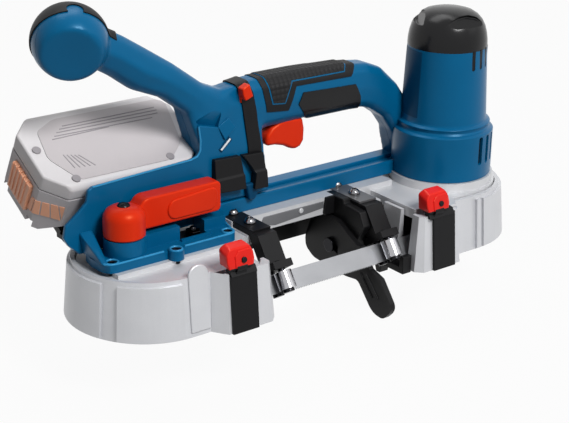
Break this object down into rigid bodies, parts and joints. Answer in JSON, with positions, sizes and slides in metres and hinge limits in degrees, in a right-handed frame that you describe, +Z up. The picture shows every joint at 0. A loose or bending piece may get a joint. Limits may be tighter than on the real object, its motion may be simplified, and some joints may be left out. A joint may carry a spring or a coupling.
{
  "type": "portable band saw",
  "caption": "Cordless portable band saw: two covered wheels carry a toothed band across an open throat, under a geared motor and a blue body with a trigger handle and front knob.",
  "frame": {"origin": "the drive wheel's axis at the plane of the wheel covers' undersides", "axes": "+X along the saw band from the idler wheel to the drive wheel, +Y from the cutting side to the battery side, +Z up along the wheel axes"},
  "size_m": [0.3643, 0.159, 0.2301],
  "materials": {
    "blue_plastic": "satin",
    "black_rubber": "matte",
    "black_plastic": "satin",
    "red_plastic": "satin",
    "latch_red": "satin",
    "cover_metal": "painted satin",
    "frame_metal": "cast, satin",
    "bright_steel": "polished",
    "dark_steel": "blackened",
    "band_steel": "ground",
    "gear_steel": "machined",
    "tyre_rubber": "matte",
    "winding": "lacquered windings",
    "board_green": "circuit board",
    "pack_grey": "pale satin",
    "pack_dark": "pale satin",
    "pack_orange": "pale satin",
    "lens_white": "frosted"
  },
  "bodies": {
    "frame": {"main_frame": "frame_metal", "housing_front": "blue_plastic", "housing_rear": "blue_plastic", "housing_screws": "dark_steel", "knob_cap": "black_rubber", "handle_grip_top": "black_rubber", "handle_grip_under": "black_rubber", "switch_band": "black_plastic", "switch_unit": "black_plastic", "control_board": "board_green", "led_lens": "lens_white", "tool_clip": "black_plastic", "motor_housing": "blue_plastic", "motor_cap": "black_plastic", "motor_stator": "winding", "gearbox_plate": "frame_metal", "motor_bearings": "gear_steel", "ring_gear": "gear_steel", "drive_bearings": "gear_steel", "tension_plate": "blue_plastic", "plate_screws": "dark_steel", "saw_band": "band_steel", "band_guard": "black_plastic", "guide_arms": "black_plastic", "guide_plates": "frame_metal", "guide_bolts": "bright_steel", "guide_screws": "bright_steel", "stop_screw": "dark_steel", "battery_dock": "black_plastic"},
    "drive": {"drive_spindle": "gear_steel", "drive_wheel": "frame_metal", "drive_tyre": "tyre_rubber"},
    "rotor": {"motor_rotor": "gear_steel"},
    "planet_1": {"planet_gear_1": "gear_steel"},
    "planet_2": {"planet_gear_2": "gear_steel"},
    "planet_3": {"planet_gear_3": "gear_steel"},
    "carriage": {"idler_carriage": "frame_metal", "idler_axle": "gear_steel"},
    "idler": {"idler_wheel": "frame_metal", "idler_tyre": "tyre_rubber", "idler_bearings": "gear_steel"},
    "lever": {"tension_lever": "red_plastic", "lever_shaft": "dark_steel"},
    "roller_left_front": {"guide_roller_left_front": "bright_steel"},
    "roller_left_back": {"guide_roller_left_back": "bright_steel"},
    "roller_right_front": {"guide_roller_right_front": "bright_steel"},
    "roller_right_back": {"guide_roller_right_back": "bright_steel"},
    "trigger": {"trigger": "red_plastic"},
    "lock_button": {"lock_button": "red_plastic"},
    "left_cover": {"left_cover": "cover_metal", "left_strap": "black_plastic"},
    "right_cover": {"right_cover": "cover_metal", "right_strap": "black_plastic", "exit_guard": "black_plastic"},
    "left_latch": {"left_latch": "latch_red"},
    "right_latch": {"right_latch": "latch_red"},
    "work_stop": {"work_stop": "black_plastic"},
    "battery": {"battery_case": "pack_dark", "battery_lid": "pack_grey"},
    "battery_button": {"battery_button": "pack_orange"}
  },
  "joints": [
    {"name": "drive_spin", "type": "hinge", "parent": "frame", "child": "drive", "pos_m": [0, 0, 0.015], "axis": [0, 0, 1], "continuous": true},
    {"name": "rotor_spin", "type": "hinge", "parent": "frame", "child": "rotor", "pos_m": [0, 0, 0.1], "axis": [0, 0, 1], "continuous": true},
    {"name": "planet_1_spin", "type": "hinge", "parent": "drive", "child": "planet_1", "pos_m": [0.0162, 0, 0.06], "axis": [0, 0, 1], "continuous": true},
    {"name": "planet_2_spin", "type": "hinge", "parent": "drive", "child": "planet_2", "pos_m": [-0.0081, 0.01403, 0.06], "axis": [0, 0, 1], "continuous": true},
    {"name": "planet_3_spin", "type": "hinge", "parent": "drive", "child": "planet_3", "pos_m": [-0.0081, -0.01403, 0.06], "axis": [0, 0, 1], "continuous": true},
    {"name": "tension_slide", "type": "slide", "parent": "frame", "child": "carriage", "axis": [1, 0, 0], "range_m": [0, 0.0045]},
    {"name": "lever_turn", "type": "hinge", "parent": "frame", "child": "lever", "pos_m": [-0.272, 0.0005, 0.06], "axis": [0, 0, -1], "range_deg": [0, 90]},
    {"name": "idler_spin", "type": "hinge", "parent": "carriage", "child": "idler", "pos_m": [-0.24365, 0, 0.015], "axis": [0, 0, 1], "continuous": true},
    {"name": "roller_left_front_spin", "type": "hinge", "parent": "frame", "child": "roller_left_front", "pos_m": [-0.178, -0.04451, 0.01879], "axis": [0, 0.5736, 0.8191], "continuous": true},
    {"name": "roller_left_back_spin", "type": "hinge", "parent": "frame", "child": "roller_left_back", "pos_m": [-0.178, -0.03369, 0.01121], "axis": [0, 0.5736, 0.8191], "continuous": true},
    {"name": "roller_right_front_spin", "type": "hinge", "parent": "frame", "child": "roller_right_front", "pos_m": [-0.0855, -0.04451, 0.01879], "axis": [0, 0.5736, 0.8191], "continuous": true},
    {"name": "roller_right_back_spin", "type": "hinge", "parent": "frame", "child": "roller_right_back", "pos_m": [-0.0855, -0.03369, 0.01121], "axis": [0, 0.5736, 0.8191], "continuous": true},
    {"name": "left_cover_drop", "type": "slide", "parent": "frame", "child": "left_cover", "axis": [0, 0, -1], "range_m": [0, 0.045]},
    {"name": "left_latch_turn", "type": "hinge", "parent": "left_cover", "child": "left_latch", "pos_m": [-0.22, -0.0555, 0.0435], "axis": [1, 0, 0], "range_deg": [0, 95]},
    {"name": "right_cover_drop", "type": "slide", "parent": "frame", "child": "right_cover", "axis": [0, 0, -1], "range_m": [0, 0.045]},
    {"name": "right_latch_turn", "type": "hinge", "parent": "right_cover", "child": "right_latch", "pos_m": [-0.048, -0.0555, 0.0435], "axis": [1, 0, 0], "range_deg": [0, 95]},
    {"name": "stop_slide", "type": "slide", "parent": "frame", "child": "work_stop", "axis": [0, 0.9578, 0.2873], "range_m": [0, 0.0052]},
    {"name": "trigger_pull", "type": "slide", "parent": "frame", "child": "trigger", "axis": [0, 0, 1], "range_m": [0, 0.005], "stiffness_N_per_m": 600, "springref_m": -0.003},
    {"name": "lock_push", "type": "slide", "parent": "frame", "child": "lock_button", "axis": [0, 1, 0], "range_m": [0, 0.003], "stiffness_N_per_m": 600, "springref_m": -0.002},
    {"name": "battery_slide", "type": "slide", "parent": "frame", "child": "battery", "axis": [-1, 0, 0], "range_m": [0, 0.11]},
    {"name": "battery_button_push", "type": "slide", "parent": "battery", "child": "battery_button", "axis": [1, 0, 0], "range_m": [0, 0.003], "stiffness_N_per_m": 600, "springref_m": -0.002}
  ],
  "couplings": [
    {"joint": "rotor_spin", "follows": "drive_spin", "ratio": 6},
    {"joint": "planet_1_spin", "follows": "drive_spin", "ratio": -2.5},
    {"joint": "planet_2_spin", "follows": "drive_spin", "ratio": -2.5},
    {"joint": "planet_3_spin", "follows": "drive_spin", "ratio": -2.5},
    {"joint": "lever_turn", "follows": "tension_slide", "rad_per_m": 349},
    {"joint": "idler_spin", "follows": "drive_spin", "ratio": 1},
    {"joint": "roller_left_front_spin", "follows": "drive_spin", "ratio": -6.4167},
    {"joint": "roller_left_back_spin", "follows": "drive_spin", "ratio": 6.4167},
    {"joint": "roller_right_front_spin", "follows": "drive_spin", "ratio": -6.4167},
    {"joint": "roller_right_back_spin", "follows": "drive_spin", "ratio": 6.4167}
  ]
}
